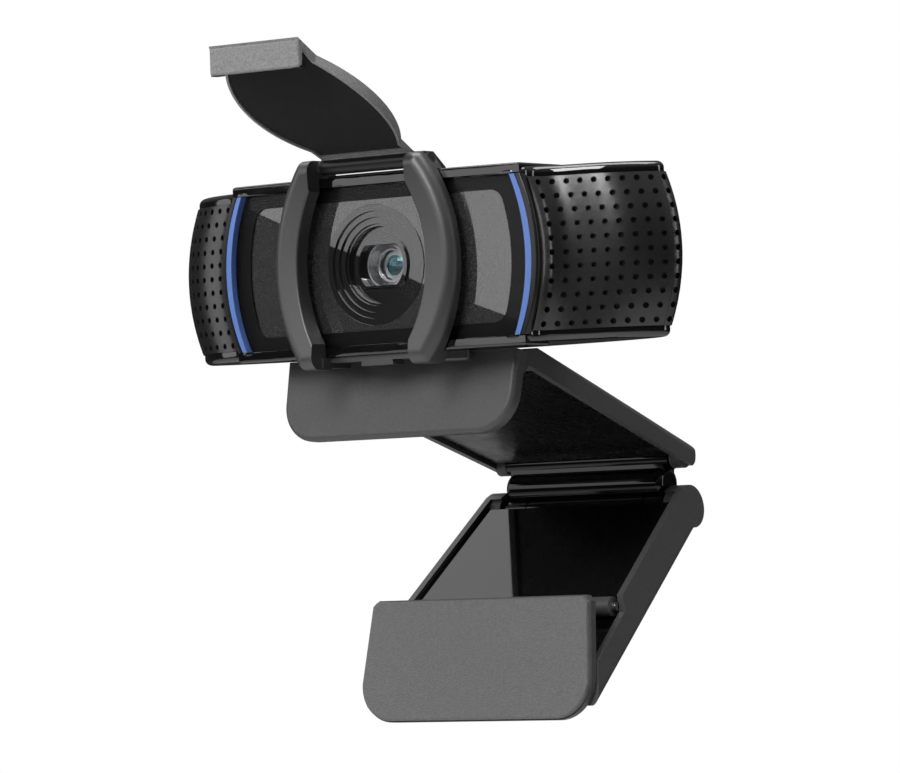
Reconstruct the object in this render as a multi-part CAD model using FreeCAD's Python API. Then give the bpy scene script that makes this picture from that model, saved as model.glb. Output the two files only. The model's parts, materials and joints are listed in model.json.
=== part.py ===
import FreeCAD, Part
import math
import os

V = FreeCAD.Vector
X_AXIS = V(1, 0, 0)
Y_AXIS = V(0, 1, 0)
Z_AXIS = V(0, 0, 1)

# A webcam with a flip-up privacy shutter on a folding monitor clip.  Millimetres, +Z up,
# X to the right seen from the front, -Y is the way the lens looks.
# The design point (0, 0, 0) is the middle of the window's front face.  Head parts are drawn
# square to the lens and then pitched about that point.  export() moves everything so that
# the packed origin is the middle of the face that rests on the monitor.

# ---- driving dimensions: head ----
HEAD_PITCH = 3.655        # degrees, nose down
HEAD_DEPTH = 24.0
SIDE_BARREL = 28.7        # radius of the barrel that the sides and strips follow
SHELL_HALF = 12.2         # half height of grilles and rear shell
CAP_HALF = 13.95          # half height over the caps at the sides
CAP_RAISED = 14.5         # half height over the raised middle of each cap
CAP_RAISED_X = 29.0
WALL = 1.6
SEAM_Y = 14.5             # joint between grilles and rear shell
GAP = 0.05                # assembly gap between fixed parts of the head
# right half of the outline seen from above, front middle to rear middle: the shells, whose
# sides stand back from the window, and the raised block that carries the window
SHELL_FRONT_Y = 1.2
DIMPLE_START = (32.85, 4.45)
SHELL_OUTLINE = [(15.0, 1.3), (27.0, 1.4), (31.0, 1.6), (32.25, 2.6), DIMPLE_START, (34.55, 6.05),
                 (38.8, 7.55), (43.25, 9.15), (46.9, 11.65), (49.3, 14.5), (49.75, 15.9),
                 (48.6, 17.5), (45.5, 19.5), (38.0, 21.8), (28.0, 23.3), (15.0, 24.0)]
BLOCK_OUTLINE = [(12.0, 0.24), (22.0, 0.79), (30.3, 1.5), (34.0, 2.1), (38.0, 5.0), (38.0, 10.0),
                 (32.0, 14.5), (16.0, 16.0)]
BLOCK_BACK_Y = 16.0

WINDOW_X = 29.7           # half widths at mid height
STRIP_X = 30.85
BEZEL_X = 32.1
BEZEL_BACK_Y = 6.2
WINDOW_HALF = 12.75
GLASS = 1.1
PLATE_X = 26.4
PLATE_HALF = 10.6
RING_RADII = [9.73, 8.7, 7.7, 6.64]
RING_STEP = 0.35
BARREL_R = 3.75
PUPIL_R = 1.7
FUNNEL_Y = 4.3            # rim of the funnel in front of the lens
SEAT_Y = 6.0              # where the front element sits
DIMPLE_R = 0.48
DIMPLE_DEPTH = 0.9
DIMPLE_PITCH = 2.25
DIMPLE_COLUMN_PITCH = 2.29
DIMPLE_ROWS = 11
DIMPLE_COLUMNS = 10

# ---- driving dimensions: shutter ----
RIB_INNER = 12.93         # half gap between the ribs at mid height
RIB_INNER_END = 9.75
RIB_ARC_Z = 12.3
RIB_OUTER = 18.15
RIB_OUTER_TOP = 12.0      # the outer arc ends here, at RIB_TOP and mirrored below
RIB_EDGE = 2.0            # rounding of the outer front edge
RIB_FRONT = -2.52
RIB_BOW_R = 125.0         # the front faces are hollow from top to bottom
RIB_BOW_Z = 2.9
RIB_TOP = 17.4
RIB_BOTTOM = -16.5
RIB_FLARE = 15.6          # the lower hooks reach out to here
HINGE_Y = 0.6
HINGE_Z = 16.3
HINGE_PIN_R = 0.95
LID_OPEN = 117.8          # degrees the lid is opened from hanging straight down
LID_EDGE = 8.95           # half width of the lid at its straight ends
LID_MIDDLE = 12.6         # and at mid height
LID_RIM = 0.45
LID_BARREL_R = 1.35

# ---- driving dimensions: clip ----
ARM_SLOPE = 14.5          # degrees, down to the back
ARM_TOP = (14.8, -13.6)   # a point (y, z) on the arm's top face
ARM_LENGTH = 53.3         # from there to the rear edge
ARM_HEIGHT = 3.6
ARM_ROUND = 1.5
ARM_HALF_FRONT = 23.0
ARM_HALF_REAR = 19.7
SKIN = 1.2
LINER_DROP = 2.9          # the liner's lower face, which rests on the monitor, below the top face
REST_DISTANCE = 16.45     # from ARM_TOP back to the middle of that face
LIP_LEAN = 9.5
LIP_TOP = (8.34, -14.1)
LIP_DROP = 13.4
LIP_THICK = 2.9
LIP_CORNER = 6.5
TILT_AXIS = (13.5, -15.33)
NECK_HALF = 5.5
LINK_TOP_AXIS = (61.9, -28.47)
LINK_LOW_AXIS = (61.8, -36.7)
LINK_HALF = 16.6
LINK_BAR = (61.7, -32.7)
LINK_BAR_R = 2.9
LINK_SWING_Z = -28.3      # the arm's rear wall stops here so that the link can swing back
LEG_ANGLE = 42.5          # degrees below horizontal, running forward
LEG_THICK = 7.1
LEG_HALF_TOP = 20.2
LEG_HALF_LOW = 24.0
FOOT_AXIS = (39.1, -54.2)
FOOT_LEAN = 6.1
FOOT_TOP = (29.4, -52.6)
FOOT_HEIGHT = 20.3
FOOT_THICK = 2.2
FOOT_CORNER = 6.5
FIT = 0.05                # radial clearance of every pin
TRIPOD_MINOR_R = 2.6      # 1/4-20 UNC insert, minor radius
TRIPOD_DOWN = 15.0        # how far down the leg the tripod thread sits


# ---- helpers ----

def box(x0, x1, y0, y1, z0, z1):
    return Part.makeBox(x1 - x0, y1 - y0, z1 - z0, V(x0, y0, z0))


def both_sides(x0, x1, y0, y1, z0, z1):
    """Two boxes, mirrored in X."""
    return [box(x0, x1, y0, y1, z0, z1), box(-x1, -x0, y0, y1, z0, z1)]


def rod(axis_yz, radius, x0, x1):
    """A cylinder along X."""
    return Part.makeCylinder(radius, x1 - x0, V(x0, axis_yz[0], axis_yz[1]), X_AXIS)


def stud(x, z, radius, y0, y1):
    """A cylinder along Y."""
    return Part.makeCylinder(radius, y1 - y0, V(x, y0, z), Y_AXIS)


def mirror_x(shape):
    return shape.mirror(V(0, 0, 0), X_AXIS)


def polygon_yz(points, x0, x1):
    """A prism along X over a polygon given as (y, z)."""
    corners = [V(x0, y, z) for y, z in points]
    face = Part.Face(Part.makePolygon(corners + [corners[0]]))
    return face.extrude(V(x1 - x0, 0, 0))


def polygon_xy(points, z0, z1):
    corners = [V(x, y, z0) for x, y in points]
    face = Part.Face(Part.makePolygon(corners + [corners[0]]))
    return face.extrude(V(0, 0, z1 - z0))


def rounded(shape, radius, chosen):
    """Fillet the edges that chosen(edge) picks; a shape that refuses stays as it is."""
    edges = [edge for edge in shape.Edges if chosen(edge)]
    if not edges:
        return shape
    try:
        result = shape.makeFillet(radius, edges)
    except Exception:
        print("fillet refused", radius, len(edges))
        return shape
    if result.isValid() and result.Volume > 0:
        return result
    print("fillet invalid", radius, len(edges))
    return shape


def along(edge, axis, tolerance=0.02):
    """True for a straight edge parallel to axis."""
    if not isinstance(edge.Curve, Part.Line):
        return False
    direction = edge.tangentAt(edge.FirstParameter)
    return abs(abs(direction.dot(axis)) - 1) < tolerance


def turned(shape, angle, axis_yz=(0, 0)):
    """Rotate about an axis along X; a positive angle lifts +Y."""
    copy = shape.copy()
    copy.rotate(V(0, axis_yz[0], axis_yz[1]), X_AXIS, angle)
    return copy


def arc_wire(points):
    """A closed wire: a pair is a line end, a triple (x, z, True) is an arc's middle point."""
    edges = []
    count = len(points)
    index = 0
    while index < count:
        start = points[index]
        middle = points[(index + 1) % count]
        if len(middle) == 3:
            end = points[(index + 2) % count]
            arc = Part.Arc(V(start[0], 0, start[1]), V(middle[0], 0, middle[1]), V(end[0], 0, end[1]))
            edges.append(arc.toShape())
            index += 2
        else:
            edges.append(Part.makeLine(V(start[0], 0, start[1]), V(middle[0], 0, middle[1])))
            index += 1
    return Part.Wire(edges)


def prism_xz(points, y0, y1):
    """A prism along Y over a closed outline in XZ."""
    wire = arc_wire(points)
    wire.translate(V(0, y0, 0))
    return Part.Face(wire).extrude(V(0, y1 - y0, 0))


def side_shift(z):
    """How far the barrelled sides move in at height z."""
    return z * z / (2 * SIDE_BARREL)


def barrel_prism(half_x, half_z, y0=-3.0, y1=30.0):
    """A prism along Y whose left and right sides follow the barrel."""
    edge_x = half_x - side_shift(half_z)
    points = [(-edge_x, -half_z), (edge_x, -half_z), (half_x, 0, True), (edge_x, half_z),
              (-edge_x, half_z), (-half_x, 0, True)]
    return prism_xz(points, y0, y1)


# ---- head shells ----

def outline_wire(z, inset, outline=SHELL_OUTLINE, front_y=SHELL_FRONT_Y, back_y=HEAD_DEPTH):
    """An outline of the head from above at height z, moved in by inset along its normal."""
    left = [(-x, y) for x, y in reversed(outline)]
    ring = [(0.0, front_y)] + outline + [(0.0, back_y)] + left
    points = []
    count = len(ring)
    for i, (x, y) in enumerate(ring):
        before = ring[i - 1]
        after = ring[(i + 1) % count]
        along_x = after[0] - before[0]
        along_y = after[1] - before[1]
        length = math.hypot(along_x, along_y)
        new_x = x - inset * along_y / length
        new_y = y + inset * along_x / length
        reach = min(1.0, abs(x) / STRIP_X)
        new_x -= math.copysign(side_shift(z) * reach, x) if x else 0
        points.append(V(new_x, new_y, z))
    curve = Part.BSplineCurve()
    curve.interpolate(Points=points, PeriodicFlag=True)
    return Part.Wire([curve.toShape()])


def block_wire(z, inset):
    return outline_wire(z, inset, BLOCK_OUTLINE, 0.0, BLOCK_BACK_Y)


def barrelled(wire_at, half_z, inset):
    """The solid through the outlines that wire_at gives, from -half_z to half_z."""
    heights = [half_z * step / 3.0 for step in range(-3, 4)]
    return Part.makeLoft([wire_at(z, inset) for z in heights], True, False)


def block_solid(half_z, inset):
    return barrelled(block_wire, half_z, inset)


def make_shells():
    """Outer body, and the body moved in by the wall, shared by the shells."""
    outer = barrelled(outline_wire, SHELL_HALF, 0.0)
    inner = barrelled(outline_wire, SHELL_HALF + 1.0, WALL)
    return outer, inner


def dimple_cutters():
    """Blind dimples of the right side, normal to the surface, in columns that follow the barrel."""
    edge = outline_wire(0.0, 0.0).Edges[0]
    start = edge.Curve.parameter(V(DIMPLE_START[0], DIMPLE_START[1], 0))
    cutters = []
    step = DIMPLE_COLUMN_PITCH
    first = Part.Edge(edge.Curve, 0, start).Length
    for column in range(DIMPLE_COLUMNS):
        parameter = edge.getParameterByLength(first + column * step)
        at = edge.valueAt(parameter)
        tangent = edge.tangentAt(parameter)
        normal = V(-tangent.y, tangent.x, 0)
        if abs(at.y - SEAM_Y) < 1.5 * DIMPLE_R:
            print("dimple column on the seam", column, at)
        for row in range(DIMPLE_ROWS):
            z = (row - (DIMPLE_ROWS - 1) / 2) * DIMPLE_PITCH
            centre = V(at.x - side_shift(z), at.y, z)
            base = centre - normal * 0.6
            cutters.append(Part.makeCylinder(DIMPLE_R, DIMPLE_DEPTH + 0.6, base, normal))
    return cutters


def grille_right(outer, inner, dimples):
    shell = outer.cut(inner)
    shell = shell.common(box(5, 60, -5, SEAM_Y, -SHELL_HALF, SHELL_HALF))
    shell = shell.cut(barrel_prism(BEZEL_X + GAP, 20.0))
    shell = shell.cut(Part.makeCompound(dimples))
    return shell


def rear_shell(outer, inner, dimples):
    shell = outer.cut(inner)
    shell = shell.common(box(-60, 60, SEAM_Y + GAP, 30, -SHELL_HALF, SHELL_HALF))
    shell = shell.cut(Part.makeCompound(dimples + [mirror_x(cutter) for cutter in dimples]))
    shell = shell.cut(stud(0, -3.0, 2.65, 20, 26))
    return shell


def cap(sign):
    """Glossy cap closing the head above or below; the lower one has a slot for the neck."""
    section = outline_wire(CAP_HALF - 1.0, 0.0)
    section.translate(V(0, 0, SHELL_HALF + GAP - (CAP_HALF - 1.0)))
    plate = Part.Face(section).extrude(V(0, 0, CAP_HALF - SHELL_HALF - GAP))
    plate = rounded(plate, 1.1, lambda e: e.BoundBox.ZMin > CAP_HALF - 0.01)
    raised_back = 8.0 if sign < 0 else BLOCK_BACK_Y - 2.1
    section = block_wire(CAP_HALF - 1.0, 0.0)
    raised = Part.Face(section).extrude(V(0, 0, CAP_RAISED - CAP_HALF + 1.0))
    raised = raised.common(box(-CAP_RAISED_X, CAP_RAISED_X, -2, raised_back, 12, 20))
    raised = rounded(raised, 0.5, lambda e: e.BoundBox.ZMin > CAP_RAISED - 0.01)
    plate = plate.fuse(raised)
    window_part = barrel_prism(BEZEL_X + GAP, WINDOW_HALF + GAP, -3.0, BEZEL_BACK_Y + GAP)
    plate = plate.cut(window_part)
    if sign > 0:
        return plate
    plate = plate.mirror(V(0, 0, 0), Z_AXIS)
    return plate.cut(box(-NECK_HALF - GAP, NECK_HALF + GAP, 10.9, 14.1, -16, -11))


def front_layers():
    """The clear window, the black border behind it and the textured plate inside the border."""
    full = WINDOW_HALF + 1.0
    window = block_solid(full, 0.0).cut(block_solid(full + 1, GLASS))
    window = window.common(barrel_prism(WINDOW_X, WINDOW_HALF, -3.0, 6.0))
    behind = block_solid(full, GLASS + 0.1)
    mask = behind.cut(block_solid(full + 1, GLASS + 1.1))
    mask = mask.common(barrel_prism(WINDOW_X, WINDOW_HALF, -3.0, 8.0))
    opening = barrel_prism(PLATE_X, PLATE_HALF, -3.0, 8.0)
    opening = rounded(opening, 2.5, lambda e: along(e, Y_AXIS) and e.Length > 5)
    mask = mask.cut(opening)
    plate = block_solid(full, GLASS + 0.35).cut(block_solid(full + 1, GLASS + 1.1))
    inset = barrel_prism(PLATE_X - GAP, PLATE_HALF - GAP, -3.0, 8.0)
    inset = rounded(inset, 2.45, lambda e: along(e, Y_AXIS) and e.Length > 5)
    plate = plate.common(inset)
    plate = plate.cut(stud(0, 0, RING_RADII[0] + GAP, -3, 8))
    return window, mask, plate


def led_strip():
    """Light guide beside the window, right side."""
    band = block_solid(WINDOW_HALF + 1.0, 0.0).cut(block_solid(WINDOW_HALF + 2.0, 1.8))
    band = band.common(barrel_prism(STRIP_X, WINDOW_HALF, -3.0, 8.0))
    band = band.cut(barrel_prism(WINDOW_X + GAP, 20.0, -4.0, 9.0))
    return band.common(box(0, 60, -5, 10, -20, 20))


def side_bezel():
    """Upright edge of the window block; it stands proud of the grille, right side."""
    band = block_solid(WINDOW_HALF + 1.0, 0.0)
    band = band.common(barrel_prism(BEZEL_X, WINDOW_HALF, -3.0, BEZEL_BACK_Y))
    band = band.cut(barrel_prism(STRIP_X + GAP, 20.0, -4.0, 9.0))
    band = band.common(box(0, 60, -5, 10, -20, 20))
    return rounded(band, 0.5, lambda e: e.Length > 20 and e.CenterOfMass.y < 3.0
                   and e.BoundBox.XMax > BEZEL_X - 0.2)


# ---- camera parts inside the head ----

def lens_surround():
    """Stepped rings going down to a round floor, with a stadium frame around the lens."""
    depth = GLASS + 0.35
    body = stud(0, 0, RING_RADII[0], depth, 5.6)
    for radius in RING_RADII[1:]:
        depth += RING_STEP
        body = body.cut(stud(0, 0, radius, -1, depth))
    floor = depth + 0.9
    body = body.cut(stud(0, 0, RING_RADII[3] - 0.4, -1, floor))
    frame = stud(0, 0, 5.25, floor - 0.5, floor + 0.1)
    body = body.fuse(frame.common(box(-6, 6, 0, 8, -3.6, 3.6)))
    opening = stud(0, 0, 4.55, 0, FUNNEL_Y).common(box(-6, 6, 0, 8, -3.3, 3.3))
    return body.cut(opening.fuse(stud(0, 0, BARREL_R + 0.1, FUNNEL_Y - 0.1, 9)))


def lens_parts():
    """Barrel with a bright funnel, domed front element, and the group behind it."""
    barrel = stud(0, 0, BARREL_R, FUNNEL_Y, 9.0)
    funnel = Part.makeCone(3.55, 2.75, SEAT_Y - FUNNEL_Y + 0.1, V(0, FUNNEL_Y - 0.1, 0), Y_AXIS)
    barrel = barrel.cut(funnel.fuse(stud(0, 0, 2.7, SEAT_Y - 0.1, SEAT_Y + 0.65)))
    barrel = barrel.cut(stud(0, 0, PUPIL_R, SEAT_Y, 8.2).fuse(stud(0, 0, 1.2, 8.0, 9.5)))
    retainer = stud(0, 0, 2.68, SEAT_Y - 0.1, SEAT_Y + 0.1).cut(stud(0, 0, 2.45, 3, 8))
    dome = Part.makeSphere(4.4, V(0, SEAT_Y - 0.28 + 4.4, 0))
    front = stud(0, 0, 2.66, SEAT_Y - 0.4, SEAT_Y + 0.62).common(dome)
    front = front.cut(stud(0, 0, 3, SEAT_Y - 0.12, SEAT_Y + 0.12).cut(stud(0, 0, 2.43, 3, 8)))
    inner = stud(0, 0, PUPIL_R - 0.03, SEAT_Y + 1.0, SEAT_Y + 1.8)
    actuator = box(-5.6, 5.6, 6.0, 9.2, -5.6, 5.6).cut(stud(0, 0, BARREL_R + 0.05, 5, 10))
    actuator = rounded(actuator, 0.6, lambda e: along(e, Y_AXIS) and e.Length > 3)
    return {"lens_barrel": barrel, "lens_retainer": retainer, "lens_front_element": front,
            "lens_inner_element": inner, "focus_actuator": actuator}


def head_internals():
    """Boards, sensor, microphones, lamps and the chassis that carries them."""
    parts = {}
    parts["image_sensor"] = box(-2.6, 2.6, 9.6, 10.4, -2.4, 2.4)
    parts["sensor_board"] = box(-9, 9, 10.4, 11.4, -8, 8)
    chassis = box(-37, 37, 12.0, 13.2, -11.2, 11.2)
    chassis = rounded(chassis, 2.0, lambda e: along(e, Y_AXIS))
    screw_places = [(sx * 24.0, sz * 8.0) for sx in (-1, 1) for sz in (-1, 1)]
    for x, z in screw_places:
        chassis = chassis.fuse(stud(x, z, 2.2, 5.5, 12.1))
    for x, z in screw_places:
        chassis = chassis.cut(stud(x, z, 0.85, 6.5, 14))
    chassis = chassis.cut(box(-7, 7, 11.9, 13.3, 3, 9))
    parts["chassis"] = chassis
    screws = []
    for x, z in screw_places:
        screw = stud(x, z, 0.82, 7.0, 13.25).fuse(stud(x, z, 1.7, 13.25, 14.3))
        screws.append(screw.cut(box(x - 1.0, x + 1.0, 13.8, 14.4, z - 0.2, z + 0.2)))
    parts["head_screws"] = Part.makeCompound(screws)
    parts["main_board"] = box(-34, 34, 15.4, 16.5, -9.5, 9.5)
    spreader = box(-8, 8, 16.5, 17.3, -7, 7)
    for fin in range(5):
        z = -6.0 + 3.0 * fin
        spreader = spreader.fuse(box(-8, 8, 17.2, 19.2, z - 0.4, z + 0.4))
    parts["heat_spreader"] = spreader
    parts["microphones"] = Part.makeCompound(both_sides(37.9, 40.1, 11.8, 13.0, -1.9, 1.9))
    boots = [b.cut(m) for b, m in zip(both_sides(37.1, 40.9, 11.0, 14.0, -2.8, 2.8),
                                      both_sides(37.9, 40.1, 11.8, 15.0, -1.9, 1.9))]
    parts["microphone_boots"] = Part.makeCompound(boots)
    lamps = []
    for z in (-6.5, 6.5):
        x = STRIP_X - 0.8 - side_shift(z)
        lamps += both_sides(x - 0.6, x + 0.6, 4.2, 5.0, z - 1.4, z + 1.4)
    parts["led_emitters"] = Part.makeCompound(lamps)
    gland = stud(0, -3.0, 2.6, 21.4, 24.4)
    gland = gland.fuse(stud(0, -3.0, 3.4, 20.9, 22.3))
    gland = gland.fuse(Part.makeCone(3.2, 2.6, 2.6, V(0, 24.1, -3.0), Y_AXIS))
    gland = gland.cut(stud(0, -3.0, 1.75, 19, 28))
    parts["cable_gland"] = gland
    return parts


def tilt_neck():
    """The block that carries the head: screwed inside, its eye turns on the tilt pin."""
    y, z = head_frame(TILT_AXIS)
    block = box(-NECK_HALF, NECK_HALF, y - 1.5, y + 1.5, z, -12.3)
    foot_plate = box(-NECK_HALF - 3, NECK_HALF + 3, y - 2.6, y - 0.6, -12.1, -10.0)
    neck = block.fuse([rod((y, z), 1.5, -NECK_HALF, NECK_HALF), foot_plate,
                       box(-NECK_HALF, NECK_HALF, y - 1.5, y - 0.6, -12.4, -10.0)])
    return neck.cut(rod((y, z), 0.7 + FIT, -NECK_HALF - 1, NECK_HALF + 1))


def head_frame(point):
    """A clip point (y, z) as the unpitched head sees it."""
    angle = math.radians(HEAD_PITCH)
    y = point[0] * math.cos(angle) + point[1] * math.sin(angle)
    z = -point[0] * math.sin(angle) + point[1] * math.cos(angle)
    return y, z


# ---- privacy shutter ----

def rib_points():
    """Outline of the right rib from the front."""
    low_x = RIB_OUTER_TOP + 0.7
    return [(RIB_INNER_END, RIB_BOTTOM), (RIB_INNER_END, -RIB_ARC_Z), (RIB_INNER, 0, True),
            (RIB_INNER_END, RIB_ARC_Z), (RIB_INNER_END, RIB_TOP), (RIB_OUTER_TOP, RIB_TOP),
            (RIB_OUTER, 0, True), (low_x, RIB_BOTTOM)]


def right_rib():
    """Right rib: hollow front face, rounded outer edge, arms over and under the head."""
    rib = prism_xz(rib_points(), -5.0, 1.6)
    rib = rounded(rib, 1.2, lambda e: along(e, Y_AXIS) and e.BoundBox.XMin > 11.5)
    bow = rod((RIB_FRONT - RIB_BOW_R, RIB_BOW_Z), RIB_BOW_R, 0, 30)
    rib = rib.cut(bow)
    rib = rounded(rib, RIB_EDGE, lambda e: e.CenterOfMass.y < -2 and e.Length > 25
                  and e.CenterOfMass.x > 15)
    rib = rounded(rib, 0.35, lambda e: e.CenterOfMass.y < -2 and e.Length > 20
                  and e.CenterOfMass.x < 13)
    rib = rib.cut(block_solid(CAP_RAISED, -0.05))
    rib = rib.cut(box(0, 30, 0.2, 3, -CAP_RAISED - 0.05, CAP_RAISED + 0.05))
    top = polygon_yz([(-0.9, RIB_TOP), (1.7, RIB_TOP), (4.9, 15.0), (4.9, CAP_RAISED + 0.05),
                      (-0.9, CAP_RAISED + 0.05)], RIB_INNER_END, 12.3)
    return rib.fuse(top)


def lower_hook():
    """Arm of the right rib that runs back under the head and spreads outwards."""
    points = [(RIB_INNER_END - 0.4, -1.0), (12.6, -1.0), (13.0, 2.0), (RIB_FLARE, 4.6),
              (RIB_FLARE, 6.3), (RIB_INNER_END - 0.4, 6.3)]
    hook = polygon_xy(points, RIB_BOTTOM + 0.3, -CAP_RAISED - 0.05)
    hook = rounded(hook, 0.8, lambda e: along(e, Z_AXIS) and e.BoundBox.XMin > 15)
    return rounded(hook, 0.5, lambda e: e.BoundBox.ZMax < RIB_BOTTOM + 0.31
                   and e.CenterOfMass.x > 12 and e.CenterOfMass.y > 0)


def shutter_frame():
    rib = right_rib().fuse(lower_hook())
    reach = RIB_INNER_END + 0.1
    saddle = box(-reach, reach, 2.7, 4.9, CAP_RAISED + 0.05, 15.0)
    bar = box(-reach, reach, 0.95, 6.3, RIB_BOTTOM + 1.1, -CAP_RAISED - 0.05)
    dome = Part.makeCylinder(3.2, 3.0, V(0, 0.95, RIB_BOTTOM + 0.3), Y_AXIS)
    dome = dome.common(box(-4, 4, 0.9, 4, RIB_BOTTOM + 0.3, -CAP_RAISED - 0.05))
    frame = rib.fuse([mirror_x(rib), saddle, bar, dome])
    return frame.cut(rod((HINGE_Y, HINGE_Z), HINGE_PIN_R, -14, 14))


def shutter_pins():
    right = rod((HINGE_Y, HINGE_Z), HINGE_PIN_R, 6.6, 12.5)
    return Part.makeCompound([right, mirror_x(right)])


def lid_outline(shrink):
    edge = LID_EDGE - shrink
    middle = LID_MIDDLE - shrink
    return [(-edge, -20), (edge, -20), (edge, -RIB_ARC_Z), (middle, 0, True), (edge, RIB_ARC_Z),
            (edge, 20), (-edge, 20), (-edge, RIB_ARC_Z), (-middle, 0, True), (-edge, -RIB_ARC_Z)]


def lid_section(points_front, points_back, x_half):
    """A bowed plate: an arc in front, an arc behind, closed at the ends."""
    a, b, c = [V(-x_half, y, z) for y, z in points_front]
    d, e, f = [V(-x_half, y, z) for y, z in points_back]
    edges = [Part.Arc(a, b, c).toShape(), Part.makeLine(c, d), Part.Arc(d, e, f).toShape(),
             Part.makeLine(f, a)]
    return Part.Face(Part.Wire(edges)).extrude(V(2 * x_half, 0, 0))


def lid_parts():
    """Lid, liner, hinge barrel and bumpers, drawn hanging straight down, then opened."""
    shell = lid_section([(-0.75, 17.0), (-1.4, 0), (-2.08, -17.55)],
                        [(-1.1, -16.3), (0.45, 0), (-0.15, 15.2)], 15)
    shell = shell.common(prism_xz(lid_outline(0), -8, 8))
    recess = lid_section([(-0.85, 14.2), (-0.45, 0), (-1.4, -14.9)],
                         [(3, -14.9), (3.1, 0), (3, 14.2)], 15)
    shell = shell.cut(recess.common(prism_xz(lid_outline(LID_RIM), -8, 8)))
    bar = polygon_yz([(-2.08, -17.55), (2.07, -15.35), (1.5, -14.35), (-1.9, -16.1)], -LID_EDGE, LID_EDGE)
    bar = rounded(bar, 0.35, lambda e: e.BoundBox.ZMax < -15.2 or abs(e.BoundBox.XLength) < 0.01)
    wedge = polygon_yz([(-1.05, 17.0), (0.5, 17.6), (0.2, 15.1), (-0.6, 14.9)], -LID_EDGE, LID_EDGE)
    shell = shell.fuse([bar, wedge])
    axis = (HINGE_Y, HINGE_Z)
    shell = shell.cut(rod(axis, LID_BARREL_R, -LID_EDGE - 1, LID_EDGE + 1)).removeSplitter()
    barrel = rod(axis, LID_BARREL_R, -LID_EDGE, LID_EDGE)
    for side in (-1, 1):
        ends = sorted([side * (LID_EDGE + 0.5), side * 6.4])
        barrel = barrel.cut(rod(axis, HINGE_PIN_R + FIT, ends[0], ends[1]))
    bumpers = [polygon_yz([(0.7, -15.2), (2.0, -15.0), (1.2, -13.6), (0.3, -14.2)], x0, x0 + 1.6).cut(bar)
               for x0 in (-LID_EDGE, LID_EDGE - 1.6)]
    shell = shell.cut(Part.makeCompound(bumpers))
    liner = lid_section([(-0.8, 14.0), (-0.4, 0), (-1.35, -14.7)],
                        [(-0.9, -14.7), (0.15, 0), (-0.35, 14.0)], 15)
    liner = liner.common(prism_xz(lid_outline(LID_RIM + 0.05), -8, 8))
    parts = {"lid_shell": shell, "lid_liner": liner, "lid_barrel": barrel,
             "lid_bumpers": Part.makeCompound(bumpers)}
    return {name: turned(shape, -LID_OPEN, axis) for name, shape in parts.items()}


# ---- clip: arm with lip ----

def arm_line(distance, drop):
    """A point (y, z) on the arm, distance behind ARM_TOP and drop below the top face."""
    angle = math.radians(ARM_SLOPE)
    y = ARM_TOP[0] + distance * math.cos(angle) - drop * math.sin(angle)
    z = ARM_TOP[1] - distance * math.sin(angle) - drop * math.cos(angle)
    return y, z


def lip_line(down, back):
    """A point (y, z) on the lip, down its front face and back from it."""
    angle = math.radians(LIP_LEAN)
    y = LIP_TOP[0] - down * math.sin(angle) + back * math.cos(angle)
    z = LIP_TOP[1] - down * math.cos(angle) - back * math.sin(angle)
    return y, z


def arm_plan(inset):
    """The arm seen from above, from the lip back to its rounded end."""
    front = ARM_HALF_FRONT - inset
    rear = ARM_HALF_REAR - inset
    end = arm_line(ARM_LENGTH, 0)[0] - inset
    plan = polygon_xy([(-front, 0), (front, 0), (front, 10), (rear, end), (-rear, end), (-front, 10)],
                      -60, 0)
    return rounded(plan, 3.6 - inset, lambda e: along(e, Z_AXIS) and e.BoundBox.YMin > end - 1)


def arm_bar():
    """A bar as wide as the arm, with rounded upper edges, tapering to the back."""
    angle = math.radians(ARM_SLOPE)
    across = 1 - math.sqrt(0.5)
    wires = []
    for distance in (-9.0, ARM_LENGTH + 2):
        half = ARM_HALF_FRONT + (ARM_HALF_REAR - ARM_HALF_FRONT) * distance / ARM_LENGTH
        half = min(half, ARM_HALF_FRONT + 0.4)
        deep = ARM_HEIGHT + 6
        outline = [(-half, -deep), (-half, -ARM_ROUND),
                   (-half + across * ARM_ROUND, -across * ARM_ROUND, True),
                   (-half + ARM_ROUND, 0), (half - ARM_ROUND, 0),
                   (half - across * ARM_ROUND, -across * ARM_ROUND, True), (half, -ARM_ROUND), (half, -deep)]
        wire = arc_wire(outline)
        wire.rotate(V(0, 0, 0), X_AXIS, -ARM_SLOPE)
        y, z = arm_line(distance, 0)
        lift = 0.6 if distance < 0 else 0.0
        wire.translate(V(0, y + lift * math.sin(angle), z + lift * math.cos(angle)))
        wires.append(wire)
    return Part.makeLoft(wires, True, True)


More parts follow.
